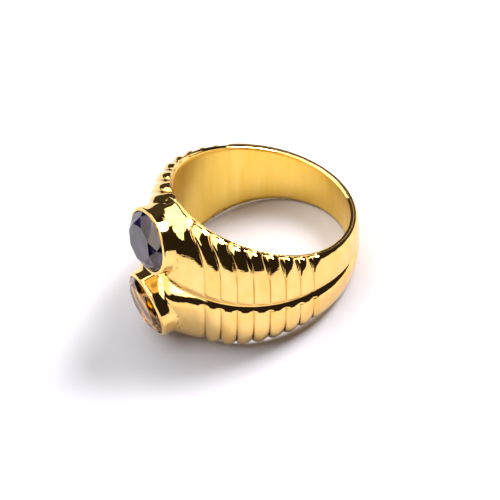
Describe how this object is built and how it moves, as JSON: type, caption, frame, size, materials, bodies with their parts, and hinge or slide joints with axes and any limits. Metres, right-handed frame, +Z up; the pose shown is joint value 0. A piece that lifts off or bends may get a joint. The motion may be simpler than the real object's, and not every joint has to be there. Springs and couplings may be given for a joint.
{
  "type": "toi et moi ring",
  "caption": "Gold finger ring whose ribbed bands meet at the head, where oval cups hold a blue and a yellow stone side by side.",
  "frame": {"origin": "middle of the ring's outline, on the surface that it rests on", "axes": "+Z up, +X towards the head with the stones, Y across the ring. The ring lies on its side, so the finger hole runs up and leans 15.5 degrees from +Z towards -X; the blue stone is the upper one."},
  "size_m": [0.0238, 0.0208, 0.0152],
  "materials": {
    "gold": "polished, with a satin finger hole",
    "blue_stone": "cut and polished",
    "yellow_stone": "cut and polished"
  },
  "bodies": {
    "root": {"ring_metal": "gold", "blue_stone": "blue_stone", "yellow_stone": "yellow_stone"}
  },
  "joints": []
}
